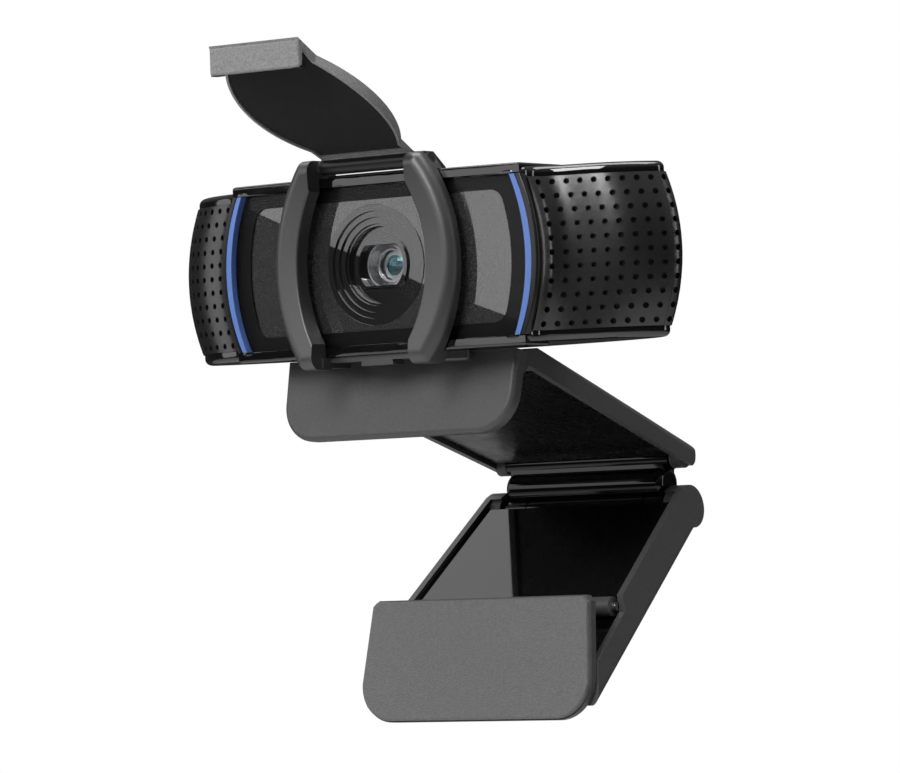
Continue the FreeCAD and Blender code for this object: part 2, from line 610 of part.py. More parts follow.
def arm_shell():
    end = ARM_LENGTH - 1.6
    profile = [lip_line(0.4, 0.8), ARM_TOP, arm_line(end - 2.6, 0), arm_line(end - 0.9, 0.4),
               arm_line(end, 1.6), arm_line(end - 0.1, 2.6), arm_line(end - 0.9, ARM_HEIGHT),
               arm_line(-2.0, ARM_HEIGHT), lip_line(3.3, LIP_THICK), lip_line(3.3, 0.8)]
    block = polygon_yz(profile, -30, 30).common(arm_plan(0)).common(arm_bar())
    cavity_end = ARM_LENGTH - 3.0
    cavity = polygon_yz([arm_line(0.8, SKIN), arm_line(cavity_end, SKIN), arm_line(cavity_end + 0.6, 9),
                         arm_line(0.8, 9)], -30, 30).common(arm_plan(SKIN))
    shell = block.cut(cavity)
    half = ARM_HALF_FRONT + 0.4
    outline = [(-half + 0.3, LIP_TOP[1] - LIP_DROP + LIP_CORNER), (-half, LIP_TOP[1] + 2),
               (half, LIP_TOP[1] + 2), (half - 0.3, LIP_TOP[1] - LIP_DROP + LIP_CORNER),
               (half - 0.3 - 0.29 * LIP_CORNER, LIP_TOP[1] - LIP_DROP + 0.29 * LIP_CORNER, True),
               (half - 0.3 - LIP_CORNER, LIP_TOP[1] - LIP_DROP),
               (-half + 0.3 + LIP_CORNER, LIP_TOP[1] - LIP_DROP),
               (-half + 0.3 + 0.29 * LIP_CORNER, LIP_TOP[1] - LIP_DROP + 0.29 * LIP_CORNER, True)]
    slab = polygon_yz([LIP_TOP, lip_line(0, LIP_THICK), lip_line(20, LIP_THICK), lip_line(20, 0)],
                      -30, 30)
    lip = prism_xz(outline, -5, 20).common(slab)
    lip = rounded(lip, 0.8, lambda e: e.BoundBox.ZMin < LIP_TOP[1] - 1)
    shell = shell.fuse(lip)
    bosses = []
    for x0 in (-9.0, NECK_HALF + 0.3):
        x1 = x0 + 9.0 - NECK_HALF - 0.3
        bosses.append(polygon_yz([arm_line(-3.5, 0.6), arm_line(3.0, 0.6), arm_line(3.0, ARM_HEIGHT),
                                  arm_line(-3.0, ARM_HEIGHT)], x0, x1))
    for x0, x1 in ((LINK_HALF + 0.3, 19.0), (-19.0, -LINK_HALF - 0.3)):
        bosses.append(rod(LINK_TOP_AXIS, 1.75, x0, x1))
    shell = shell.fuse(bosses)
    neck_slot = box(-NECK_HALF - 0.3, NECK_HALF + 0.3, 11.6, 15.7, -25, -10)
    shell = shell.cut(neck_slot.common(box(-9, 9, 0, 30, -17.6, -10)))
    room = LINK_HALF + 0.3
    shell = shell.cut(rod(LINK_TOP_AXIS, 2.05, -room, room))
    shell = shell.cut(box(-room, room, LINK_TOP_AXIS[0] - 0.9, LINK_TOP_AXIS[0] + 8, -38, LINK_SWING_Z))
    shell = shell.cut(rod(TILT_AXIS, 0.7, -8.4, 8.4))
    shell = shell.cut(rod(LINK_TOP_AXIS, 0.8, -18.8, 18.8))
    return shell


def arm_liner():
    """Glossy plate that closes the arm from below; it rests on the monitor."""
    rear = ARM_LENGTH - 6.4
    slab = polygon_yz([arm_line(3.4, LINER_DROP - 1.0), arm_line(rear, LINER_DROP - 1.0),
                       arm_line(rear, LINER_DROP), arm_line(3.4, LINER_DROP)], -30, 30)
    return slab.common(arm_plan(SKIN + GAP))


def lip_pad():
    """Soft pad on the back of the lip."""
    pad = polygon_yz([lip_line(4.6, LIP_THICK), lip_line(12.4, LIP_THICK), lip_line(12.4, LIP_THICK + 0.8),
                      lip_line(4.6, LIP_THICK + 0.8)], -15, 15)
    return rounded(pad, 0.3, lambda e: abs(e.BoundBox.XLength - 30) < 0.1 and e.BoundBox.YMax > 11)


def tilt_parts():
    pin = rod(TILT_AXIS, 0.7, -8.3, 8.3)
    washers = []
    for x0 in (-NECK_HALF - 0.27, NECK_HALF + 0.02):
        washer = rod(TILT_AXIS, 1.45, x0, x0 + 0.25)
        washers.append(washer.cut(rod(TILT_AXIS, 0.7 + FIT, x0 - 1, x0 + 1)))
    return {"tilt_pin": pin, "tilt_washers": Part.makeCompound(washers)}


# ---- clip: link, leg and foot ----

def hinge_link():
    """Link between arm and leg: two long knuckles joined by a fat bar, grooved where they split."""
    top_y, top_z = LINK_TOP_AXIS
    low_y, low_z = LINK_LOW_AXIS
    link = rod(LINK_TOP_AXIS, 1.9, -LINK_HALF, LINK_HALF)
    link = link.fuse(rod(LINK_LOW_AXIS, 2.5, -LINK_HALF, LINK_HALF))
    bar = rod(LINK_BAR, LINK_BAR_R, -LINK_HALF + 0.4, LINK_HALF - 0.4)
    bar = rounded(bar, 1.3, lambda e: e.Length > 15)
    web = box(-LINK_HALF + 0.8, LINK_HALF - 0.8, top_y - 1.6, top_y + 1.6, low_z, top_z)
    link = link.fuse([bar, web])
    for x in (-12.0, 12.0):
        groove = rod(LINK_LOW_AXIS, 3.2, x - 0.15, x + 0.15).cut(rod(LINK_LOW_AXIS, 2.0, x - 1, x + 1))
        link = link.cut(groove)
    link = link.cut(rod(LINK_TOP_AXIS, 0.8 + FIT, -LINK_HALF - 1, LINK_HALF + 1))
    link = link.cut(rod(LINK_LOW_AXIS, 1.1 + FIT, -LINK_HALF - 1, LINK_HALF + 1))
    for x0 in (-LINK_HALF - 0.1, LINK_HALF - 4.0):
        link = link.cut(rod(LINK_LOW_AXIS, 1.7, x0, x0 + 4.1))
    return link


def link_bushes():
    """Friction bushes pressed into the lower knuckle around the pin."""
    bushes = []
    for x0 in (-LINK_HALF, LINK_HALF - 4.0):
        bush = rod(LINK_LOW_AXIS, 1.7, x0, x0 + 4.0)
        bushes.append(bush.cut(rod(LINK_LOW_AXIS, 1.1 + FIT, x0 - 1, x0 + 5)))
    return Part.makeCompound(bushes)


def leg_line(down, back):
    """A point (y, z) on the leg: down along its front face from the top, back from that face."""
    angle = math.radians(LEG_ANGLE)
    y = 59.8 - down * math.cos(angle) + back * math.sin(angle)
    z = -33.5 - down * math.sin(angle) - back * math.cos(angle)
    return y, z


def leg_plan(inset):
    """The leg seen from the front: wider towards its foot, with rounded lower corners."""
    top = -30.0
    low = -80.0
    slope = (LEG_HALF_LOW - LEG_HALF_TOP) / 38.0
    wide = LEG_HALF_LOW + slope * 8.4 - inset
    narrow = LEG_HALF_TOP - slope * 3.5 - inset
    points = [(-narrow, top), (narrow, top), (wide, low), (-wide, low)]
    return prism_xz(points, 10, 90)


def leg_end_cut(gap):
    """Everything in front of the cut end that the foot rests on."""
    angle = math.radians(FOOT_LEAN)
    back = (FOOT_THICK + gap) / math.cos(angle)
    top_y = FOOT_TOP[0] + 5 * math.tan(angle) + back
    low_y = FOOT_TOP[0] - 30 * math.tan(angle) + back
    return polygon_yz([(0, FOOT_TOP[1] + 5), (top_y, FOOT_TOP[1] + 5), (low_y, FOOT_TOP[1] - 30),
                       (0, FOOT_TOP[1] - 30)], -40, 40)


def leg_section(inset, front_inset, end_inset):
    """Side view of the leg, moved in from its faces."""
    step_down = 27.9
    step = 2.2
    points = [leg_line(0.6 + inset, front_inset), leg_line(step_down - inset, front_inset),
              leg_line(step_down + 1.6 - inset, front_inset + step), leg_line(52, front_inset + step + 0.2),
              leg_line(52, LEG_THICK - inset), leg_line(0.0, LEG_THICK - inset)]
    block = polygon_yz(points, -30, 30)
    end = leg_end_cut(0.12 + end_inset)
    return block.cut(end)


def leg_head(radius):
    """Rounded upper end around the lower link pin."""
    return rod(LINK_LOW_AXIS, radius, -30, 30)


def leg_shell():
    body = leg_section(0, 0, 0).fuse(leg_head(3.6)).removeSplitter()
    body = body.common(leg_plan(0))
    body = rounded(body, 5.5, lambda e: abs(e.CenterOfMass.x) > 20 and e.CenterOfMass.z < -68
                   and e.Length < 6)
    body = rounded(body, 1.3, lambda e: e.Length > 30 and abs(e.CenterOfMass.x) > 15
                   and on_leg_back(e))
    cavity = leg_section(SKIN, -3, SKIN)
    back_skin = polygon_yz([leg_line(-6, LEG_THICK - SKIN), leg_line(12, LEG_THICK - SKIN),
                            leg_line(12, 14), leg_line(-6, 14)], -31, 31)
    cavity = cavity.fuse(leg_head(3.2).cut(back_skin))
    cavity = cavity.common(leg_plan(SKIN))
    shell = body.cut(cavity)
    bosses = [rod(LINK_LOW_AXIS, 3.3, LINK_HALF + 0.3, 19.6),
              rod(LINK_LOW_AXIS, 3.3, -19.6, -LINK_HALF - 0.3)]
    shell = shell.fuse([boss.common(leg_plan(0.3)) for boss in bosses])
    boss_at = tripod_place()
    inward = leg_normal()
    shell = shell.fuse(Part.makeCylinder(5.6, 4.5, boss_at + inward * 0.1, inward))
    shell = shell.cut(Part.makeCylinder(4.2, 5.4, boss_at - inward * 0.5, inward))
    shell = shell.cut(link_sweep())
    shell = shell.cut(rod(LINK_LOW_AXIS, 1.1, -19.4, 19.4))
    shell = shell.cut(rod(FOOT_AXIS, 0.7, -21.2, 21.2))
    return shell


def link_sweep():
    """Room in the leg's upper end for the link to turn."""
    half = LINK_HALF + 0.3
    y, z = LINK_LOW_AXIS
    fan = [(y, z)]
    for degrees in (-18, 20, 60, 100, 140, 176):
        fan.append((y + 8 * math.cos(math.radians(degrees)), z + 8 * math.sin(math.radians(degrees))))
    return rod(LINK_LOW_AXIS, 3.2, -half, half).fuse(polygon_yz(fan, -half, half))


def tripod_place():
    y, z = leg_line(TRIPOD_DOWN, LEG_THICK)
    return V(0, y, z)


def on_leg_back(edge):
    """True when the edge lies on the leg's rear face."""
    angle = math.radians(LEG_ANGLE)
    at = edge.CenterOfMass
    back = (at.y - 59.8) * math.sin(angle) - (at.z + 33.5) * math.cos(angle)
    return back > LEG_THICK - 0.5


def leg_normal():
    angle = math.radians(LEG_ANGLE)
    return V(0, -math.sin(angle), math.cos(angle))


def leg_liner():
    """Glossy plate inside the leg, just below the front edges of its walls."""
    plate = leg_section(0.6, 0.7, 1.6)
    behind = leg_section(0.6, 1.9, -6)
    liner = plate.cut(behind)
    liner = liner.common(leg_plan(SKIN + GAP))
    liner = liner.cut(rod(LINK_LOW_AXIS, 3.9, -40, 40))
    liner = liner.cut(polygon_yz([(58.5, -20), (75, -20), (75, -60), (58.5, -60)], -40, 40))
    return liner.cut(rod(FOOT_AXIS, 2.1, -40, 40))


def tripod_insert():
    """Brass bush with a quarter inch thread, in the leg's rear face."""
    at = tripod_place()
    inward = leg_normal()
    bush = Part.makeCylinder(4.2, 4.4, at + inward * 0.1, inward)
    return bush.cut(Part.makeCylinder(TRIPOD_MINOR_R, 6, at - inward, inward))


def foot_line(down, back):
    angle = math.radians(FOOT_LEAN)
    y = FOOT_TOP[0] - down * math.sin(angle) + back * math.cos(angle)
    z = FOOT_TOP[1] - down * math.cos(angle) - back * math.sin(angle)
    return y, z


def foot_outline(shrink):
    top = 22.06 - shrink
    low = 23.2 - shrink
    z_top = FOOT_TOP[1] - shrink
    z_low = FOOT_TOP[1] - FOOT_HEIGHT + shrink
    radius = FOOT_CORNER - shrink
    small = 1.0
    return [(-low, z_low + radius), (-top, z_top - small), (-top + small, z_top), (top - small, z_top),
            (top, z_top - small), (low, z_low + radius),
            (low - 0.29 * radius, z_low + 0.29 * radius, True), (low - radius, z_low),
            (-low + radius, z_low), (-low + 0.29 * radius, z_low + 0.29 * radius, True)]


def foot_layer(back0, back1, shrink):
    slab = polygon_yz([foot_line(-2, back0), foot_line(-2, back1), foot_line(24, back1),
                       foot_line(24, back0)], -40, 40)
    return prism_xz(foot_outline(shrink), 10, 50).common(slab)


def foot_pad():
    pad = foot_layer(0, 0.9, 0.25)
    return rounded(pad, 0.35, lambda e: e.Length > 3 and on_foot_face(e, 0.0))


def on_foot_face(edge, back):
    angle = math.radians(FOOT_LEAN)
    at = edge.CenterOfMass
    depth = (at.y - FOOT_TOP[0]) * math.cos(angle) - (at.z - FOOT_TOP[1]) * math.sin(angle)
    return abs(depth - back) < 0.02


def foot_shell():
    """Back of the foot, with a bracket to its pivot barrel."""
    plate = foot_layer(0.9, FOOT_THICK, 0)
    y, z = FOOT_AXIS
    bracket = polygon_yz([foot_line(0.6, FOOT_THICK - 0.2), (y - 0.4, z + 1.6), (y + 0.4, z - 1.5),
                          (y - 1.0, z - 1.55), foot_line(3.6, FOOT_THICK - 0.2)], -14, 14)
    barrel = rod(FOOT_AXIS, 1.65, -20.3, 20.3)
    shell = plate.fuse([bracket, barrel])
    return shell.cut(rod(FOOT_AXIS, 0.7 + FIT, -30, 30))


# ---- assembly ----

def export(name, shape, pitched=False):
    """Pitch a head part, move it to the packed origin and write it."""
    placed = turned(shape, HEAD_PITCH) if pitched else shape.copy()
    rest_y, rest_z = arm_line(REST_DISTANCE, LINER_DROP)
    placed.translate(V(0, -rest_y, -rest_z))
    solids = placed.Solids
    placed = solids[0] if len(solids) == 1 else Part.makeCompound(solids)
    if not placed.isValid() or not solids:
        print("CHECK", name, "valid", placed.isValid(), "solids", len(solids))
    print("%-20s solids %d volume %.1f" % (name, len(solids), placed.Volume))
    placed.exportStep("parts/" + name + ".step")


def head_parts():
    outer, inner = make_shells()
    dimples = dimple_cutters()
    parts = {"grille_right": grille_right(outer, inner, dimples)}
    parts["grille_left"] = mirror_x(parts["grille_right"])
    parts["rear_shell"] = rear_shell(outer, inner, dimples)
    parts["top_cap"] = cap(1)
    parts["bottom_cap"] = cap(-1)
    parts["front_window"], parts["window_mask"], parts["window_plate"] = front_layers()
    strip = led_strip()
    bezel = side_bezel()
    parts["led_strip_right"] = strip
    parts["led_strip_left"] = mirror_x(strip)
    parts["side_bezel_right"] = bezel
    parts["side_bezel_left"] = mirror_x(bezel)
    parts["lens_surround"] = lens_surround()
    parts.update(lens_parts())
    parts.update(head_internals())
    parts["tilt_neck"] = tilt_neck()
    parts["shutter_frame"] = shutter_frame()
    parts["shutter_pins"] = shutter_pins()
    parts.update(lid_parts())
    return parts


def clip_parts():
    parts = {"arm_shell": arm_shell(), "arm_liner": arm_liner(), "lip_pad": lip_pad()}
    parts.update(tilt_parts())
    parts["arm_hinge_pin"] = rod(LINK_TOP_AXIS, 0.8, -18.7, 18.7)
    parts["hinge_link"] = hinge_link()
    parts["link_bushes"] = link_bushes()
    parts["leg_shell"] = leg_shell()
    parts["leg_liner"] = leg_liner()
    parts["leg_hinge_pin"] = rod(LINK_LOW_AXIS, 1.1, -19.3, 19.3)
    parts["tripod_insert"] = tripod_insert()
    parts["foot_shell"] = foot_shell()
    parts["foot_pad"] = foot_pad()
    parts["foot_pin"] = rod(FOOT_AXIS, 0.7, -21.1, 21.1)
    return parts


os.makedirs("parts", exist_ok=True)
for part_name, part_shape in head_parts().items():
    export(part_name, part_shape, pitched=True)
for part_name, part_shape in clip_parts().items():
    export(part_name, part_shape)
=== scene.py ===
"""Looks for the webcam: materials, small visible detail, light and camera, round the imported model."""
import json
import math

import bmesh
import bpy
from mathutils import Matrix, Vector


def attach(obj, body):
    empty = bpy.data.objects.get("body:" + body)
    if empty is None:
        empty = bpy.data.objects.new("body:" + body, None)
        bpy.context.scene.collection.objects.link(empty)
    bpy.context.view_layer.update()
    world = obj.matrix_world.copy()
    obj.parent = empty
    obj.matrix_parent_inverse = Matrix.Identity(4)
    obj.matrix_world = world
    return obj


MM = 0.001
GRAIN_UNIT = 1000.0       # texture coordinates are metres, so this many cells is one per millimetre

CAMERA_PLACE = (530.80, -722.60, -70.13)      # millimetres, row frame
CAMERA_TARGET = (9.40, -21.03, 0.97)
CAMERA_LENS = 218.15

HEAD_PITCH = math.radians(3.655)
DESIGN_ORIGIN = Vector((0, -30.0, 20.526)) * MM        # the window's middle
HEAD_PLACE = Matrix.Translation(DESIGN_ORIGIN) @ Matrix.Rotation(HEAD_PITCH, 4, "X")
# the window's normal: its lean sideways per metre across, upward per metre up, and upward at height 0
WINDOW_CROWN_X = 3.5
WINDOW_CROWN_Z = 1.8
WINDOW_LEAN = -0.101

# sizes of the added pieces are in millimetres, and y runs backwards from the window's middle
GLAND_DROP = 3.0                                       # the cable inlet sits below the window's middle
GLAND_RIBS = ((24.6, 3.06), (25.3, 2.90), (26.0, 2.74))     # y and radius
RIB_ROUND = 0.16
LENS_RINGS = (("lens_rim", 2.72, 5.86, 0.07), ("pupil_ring", 1.66, 6.76, 0.05))  # radius, y, thickness

THREAD_INWARD = Vector((0, -0.6756, 0.7373))           # the tripod bush's axis, into the leg
THREAD_MOUTH = Vector((0, 23.538, -28.343)) * MM
THREAD_PITCH = 1.27                                    # a quarter inch thread, 20 to the inch
THREAD_TURNS = 2.6
THREAD_START = 0.6                                     # depth of the first turn
THREAD_CREST = 2.45
THREAD_ROOT = 2.66                                     # sunk a little into the bush's wall
THREAD_BASE = 0.45                                     # half the ridge's width at its root
THREAD_TIP = 0.08                                      # and at its crest
THREAD_STEPS = 48                                      # per turn
THREAD_FADE = 10                                       # steps over which each end runs out

# metres; azimuth, elevation, distance, width, height, brightness
HEAD_MIDDLE = (0, -0.02, 0.02)
LIGHTS = (
    ("overhead", 20, 82, 0.7, 0.8, 0.45, 4.5),
    ("front_high", 3, 31, 0.9, 0.34, 0.50, 9.0),
    ("left_high", -101, 54, 0.9, 0.45, 0.40, 1.2),
    ("right_side", 100, 12, 0.8, 0.12, 0.6, 2.6),
    ("left_side", -66, 8, 0.9, 0.25, 0.6, 1.2),
)
MIRRORED = Vector((-0.605, -0.796, 0.002))     # what the camera sees mirrored at the window's middle
WINDOW_CARD_ROLL = -14.5

FLOOR_RADIUS = 1.4                             # metres
FLOOR_HEIGHT = -0.42
FLOOR_GLOW = 0.42

# painted reflections of the lens coating, as a ramp: position along the ramp, and the colour there
LENS_PAINTED_REFLECTIONS = ((0.0, (0.002, 0.006, 0.008)), (0.40, (0.0, 0.02, 0.03)), (0.52, (0.0, 0.03, 0.045)),
                (0.60, (0.01, 0.08, 0.10)), (0.68, (0.02, 0.05, 0.18)), (1.0, (0.30, 0.03, 0.12)))
# from straight down to straight up, and the room's grey there
ROOM = ((0.0, 0.12), (0.44, 0.03), (0.58, 0.03), (0.75, 0.2), (1.0, 0.35))

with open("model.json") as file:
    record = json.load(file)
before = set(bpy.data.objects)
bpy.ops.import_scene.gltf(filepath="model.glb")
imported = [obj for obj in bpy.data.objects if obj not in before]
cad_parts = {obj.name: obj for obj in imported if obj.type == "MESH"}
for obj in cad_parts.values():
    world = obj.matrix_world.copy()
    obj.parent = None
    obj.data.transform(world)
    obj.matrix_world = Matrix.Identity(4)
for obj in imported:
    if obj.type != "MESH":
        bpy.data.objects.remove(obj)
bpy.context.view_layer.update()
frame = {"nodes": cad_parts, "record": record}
nodes = frame["nodes"]


# ---- helpers ----

def linear(level):
    """Display grey level 0..1 to linear light."""
    return ((level + 0.055) / 1.055) ** 2.4 if level > 0.04045 else level / 12.92


def socket(shader, name, value):
    shader.inputs[name].default_value = value


def new_material(name):
    material = bpy.data.materials.new(name)
    material.use_nodes = True
    tree = material.node_tree
    shader = tree.nodes["Principled BSDF"]
    return material, tree, shader


def noise(tree, size_mm, detail=2.0, stretch=(1, 1, 1)):
    """3-D noise with cells of size_mm, in the object's own coordinates."""
    coords = tree.nodes.new("ShaderNodeTexCoord")
    mapping = tree.nodes.new("ShaderNodeMapping")
    mapping.inputs["Scale"].default_value = [s * GRAIN_UNIT / size_mm for s in stretch]
    texture = tree.nodes.new("ShaderNodeTexNoise")
    texture.inputs["Scale"].default_value = 1.0
    texture.inputs["Detail"].default_value = detail
    tree.links.new(coords.outputs["Object"], mapping.inputs["Vector"])
    tree.links.new(mapping.outputs["Vector"], texture.inputs["Vector"])
    return texture.outputs["Fac"]


def cells(tree, size_mm, feature="DISTANCE_TO_EDGE"):
    """3-D cell pattern with cells of size_mm, in the object's own coordinates."""
    coords = tree.nodes.new("ShaderNodeTexCoord")
    mapping = tree.nodes.new("ShaderNodeMapping")
    mapping.inputs["Scale"].default_value = [GRAIN_UNIT / size_mm] * 3
    texture = tree.nodes.new("ShaderNodeTexVoronoi")
    texture.feature = feature
    texture.inputs["Scale"].default_value = 1.0
    tree.links.new(coords.outputs["Object"], mapping.inputs["Vector"])
    tree.links.new(mapping.outputs["Vector"], texture.inputs["Vector"])
    return texture.outputs["Distance"]


def remap(tree, value, low, high, from_low=0.3, from_high=0.7):
    node = tree.nodes.new("ShaderNodeMapRange")
    node.inputs["From Min"].default_value = from_low
    node.inputs["From Max"].default_value = from_high
    node.inputs["To Min"].default_value = low
    node.inputs["To Max"].default_value = high
    tree.links.new(value, node.inputs["Value"])
    return node.outputs["Result"]


def colour_ramp(tree, value, stops):
    """Colour by a value, through (position, colour) stops in rising order."""
    ramp = tree.nodes.new("ShaderNodeValToRGB")
    elements = ramp.color_ramp.elements
    first, *between, last = stops
    for element, (position, colour) in zip((elements[0], elements[1]), (first, last)):
        element.position = position
        element.color = (*colour, 1)
    for position, colour in between:
        elements.new(position).color = (*colour, 1)
    tree.links.new(value, ramp.inputs["Fac"])
    return ramp.outputs["Color"]


def two_tone(tree, value, dark, light):
    """Colour between dark and light by a noise value."""
    return colour_ramp(tree, value, ((0.3, dark), (0.7, light)))


def bump(tree, shader, height, depth_mm, strength=1.0):
    node = tree.nodes.new("ShaderNodeBump")
    node.inputs["Strength"].default_value = strength
    node.inputs["Distance"].default_value = depth_mm * MM
    tree.links.new(height, node.inputs["Height"])
    tree.links.new(node.outputs["Normal"], shader.inputs["Normal"])


def moulded(name, grey, rough, grain_mm=0.25, depth_mm=0.01, spread=0.12, tint=(1, 1, 1), **sockets):
    """Moulded plastic: spark-eroded grain, a little mottling in colour and roughness."""
    material, tree, shader = new_material(name)
    base = linear(grey)
    dark = [base * (1 - spread) * t for t in tint]
    light = [base * (1 + spread) * t for t in tint]
    tree.links.new(two_tone(tree, noise(tree, grain_mm * 1.7, 4), dark, light), shader.inputs["Base Color"])
    tree.links.new(remap(tree, noise(tree, 6.0, 3), rough * 0.92, min(1.0, rough * 1.08)),
                   shader.inputs["Roughness"])
    if depth_mm:
        bump(tree, shader, noise(tree, grain_mm, 3), depth_mm)
    for key, value in sockets.items():
        socket(shader, key.replace("_", " "), value)
    return material


def glossy_black(name, grey=0.06, rough=0.05, ripple_mm=0.0015, shine=0.5):
    """Polished black plastic with the slight flow waviness of a moulding."""
    material, tree, shader = new_material(name)
    base = linear(grey)
    tree.links.new(two_tone(tree, noise(tree, 9.0, 2), [base * 0.8] * 3, [base * 1.2] * 3),
                   shader.inputs["Base Color"])
    tree.links.new(remap(tree, noise(tree, 3.0, 3), rough * 0.8, rough * 1.3), shader.inputs["Roughness"])
    bump(tree, shader, noise(tree, 5.0, 1), ripple_mm)
    socket(shader, "Specular IOR Level", shine)
    return material


def metal(name, colour, rough, stretch=(12, 1, 1)):
    material, tree, shader = new_material(name)
    socket(shader, "Metallic", 1.0)
    dark = [c * 0.85 for c in colour]
    tree.links.new(two_tone(tree, noise(tree, 0.6, 3, stretch), dark, colour), shader.inputs["Base Color"])
    tree.links.new(remap(tree, noise(tree, 0.4, 2, stretch), rough * 0.8, rough * 1.25),
                   shader.inputs["Roughness"])
    return material


def clear(name, sheen, strength, rough=0.01):
    """Clear moulding or lens: a thin mirror of the given strength over what is behind it."""
    material, tree, shader = new_material(name)
    smudged = two_tone(tree, noise(tree, 7.0, 3), [c * 0.97 for c in sheen], sheen)
    tree.links.new(smudged, shader.inputs["Base Color"])
    tree.links.new(remap(tree, noise(tree, 4.0, 3), rough * 0.5, rough), shader.inputs["Roughness"])
    socket(shader, "Metallic", 1.0)
    socket(shader, "Alpha", strength)
    return material


def window_normal(tree, shader):
    """Gives the lacquer the gently crowned shape of the window in front of it."""
    coords = tree.nodes.new("ShaderNodeTexCoord")
    split = tree.nodes.new("ShaderNodeSeparateXYZ")
    join = tree.nodes.new("ShaderNodeCombineXYZ")
    join.inputs["Y"].default_value = -1.0
    tree.links.new(coords.outputs["Object"], split.inputs["Vector"])
    for axis, slope, offset in (("X", WINDOW_CROWN_X, 0.0), ("Z", WINDOW_CROWN_Z, WINDOW_LEAN)):
        crown = tree.nodes.new("ShaderNodeMath")
        crown.operation = "MULTIPLY_ADD"
        crown.inputs[1].default_value = slope
        crown.inputs[2].default_value = offset
        tree.links.new(split.outputs[axis], crown.inputs[0])
        tree.links.new(crown.outputs["Value"], join.inputs[axis])
    turn = tree.nodes.new("ShaderNodeVectorTransform")
    turn.vector_type = "NORMAL"
    turn.convert_from = "OBJECT"
    turn.convert_to = "WORLD"
    tree.links.new(join.outputs["Vector"], turn.inputs["Vector"])
    tree.links.new(turn.outputs["Vector"], shader.inputs["Coat Normal"])


def lacquered(name, grey, rough, coat_ior, grain_mm=0.2, depth_mm=0.01, spread=0.25):
    """Printed panel under a hard, mirror-like lacquer."""
    material = moulded(name, grey, rough, grain_mm, depth_mm, spread)
    shader = material.node_tree.nodes["Principled BSDF"]
    socket(shader, "Specular IOR Level", 0.15)
    socket(shader, "Coat Weight", 1.0)
    socket(shader, "Coat IOR", coat_ior)
    socket(shader, "Coat Roughness", 0.0)
    window_normal(material.node_tree, shader)
    return material


def lens_painted_reflections(name):
    """Dark glass whose base colour carries painted reflections of its anti-reflection coating: teal,
    breaking up into blue and magenta.
    """
    material, tree, shader = new_material(name)
    # painted reflection: the coating's coloured reflections are set into the base colour by noise
    colour = colour_ramp(tree, noise(tree, 1.6, 1), LENS_PAINTED_REFLECTIONS)
    tree.links.new(colour, shader.inputs["Base Color"])
    socket(shader, "Roughness", 0.08)
    socket(shader, "Specular IOR Level", 0.8)
    return material


def leathery(name, grey, rough, grain_mm=0.45, depth_mm=0.08):
    """Soft pad with a pebbled, leather-like skin."""
    material, tree, shader = new_material(name)
    base = linear(grey)
    tree.links.new(two_tone(tree, noise(tree, 0.5, 5), [base * 0.86] * 3, [base * 1.12] * 3),
                   shader.inputs["Base Color"])
    tree.links.new(remap(tree, noise(tree, 0.8, 3), rough * 0.9, rough), shader.inputs["Roughness"])
    height = tree.nodes.new("ShaderNodeMath")
    height.operation = "ADD"
    pebbles = remap(tree, cells(tree, grain_mm), 0.0, 1.0, 0.0, 0.35)
    tree.links.new(pebbles, height.inputs[0])
    tree.links.new(noise(tree, 0.3, 3), height.inputs[1])
    bump(tree, shader, height.outputs["Value"], depth_mm, 0.6)
    socket(shader, "Sheen Weight", 0.15)
    return material


def felt(name):
    material, tree, shader = new_material(name)
    tree.links.new(two_tone(tree, noise(tree, 0.22, 4), [0.003] * 3, [0.009] * 3),
                   shader.inputs["Base Color"])
    socket(shader, "Roughness", 1.0)
    socket(shader, "Specular IOR Level", 0.15)
    socket(shader, "Sheen Weight", 0.12)
    socket(shader, "Sheen Roughness", 0.5)
    bump(tree, shader, noise(tree, 0.18, 4), 0.08)
    return material


def board(name):
    """Solder mask with copper tracks showing through as lighter green."""
    material, tree, shader = new_material(name)
    tree.links.new(two_tone(tree, cells(tree, 2.2, "F1"), [0.01, 0.09, 0.03], [0.02, 0.16, 0.06]),
                   shader.inputs["Base Color"])
    socket(shader, "Roughness", 0.35)
    bump(tree, shader, cells(tree, 2.2), 0.02)
    return material


# ---- materials of the carried-over nodes ----

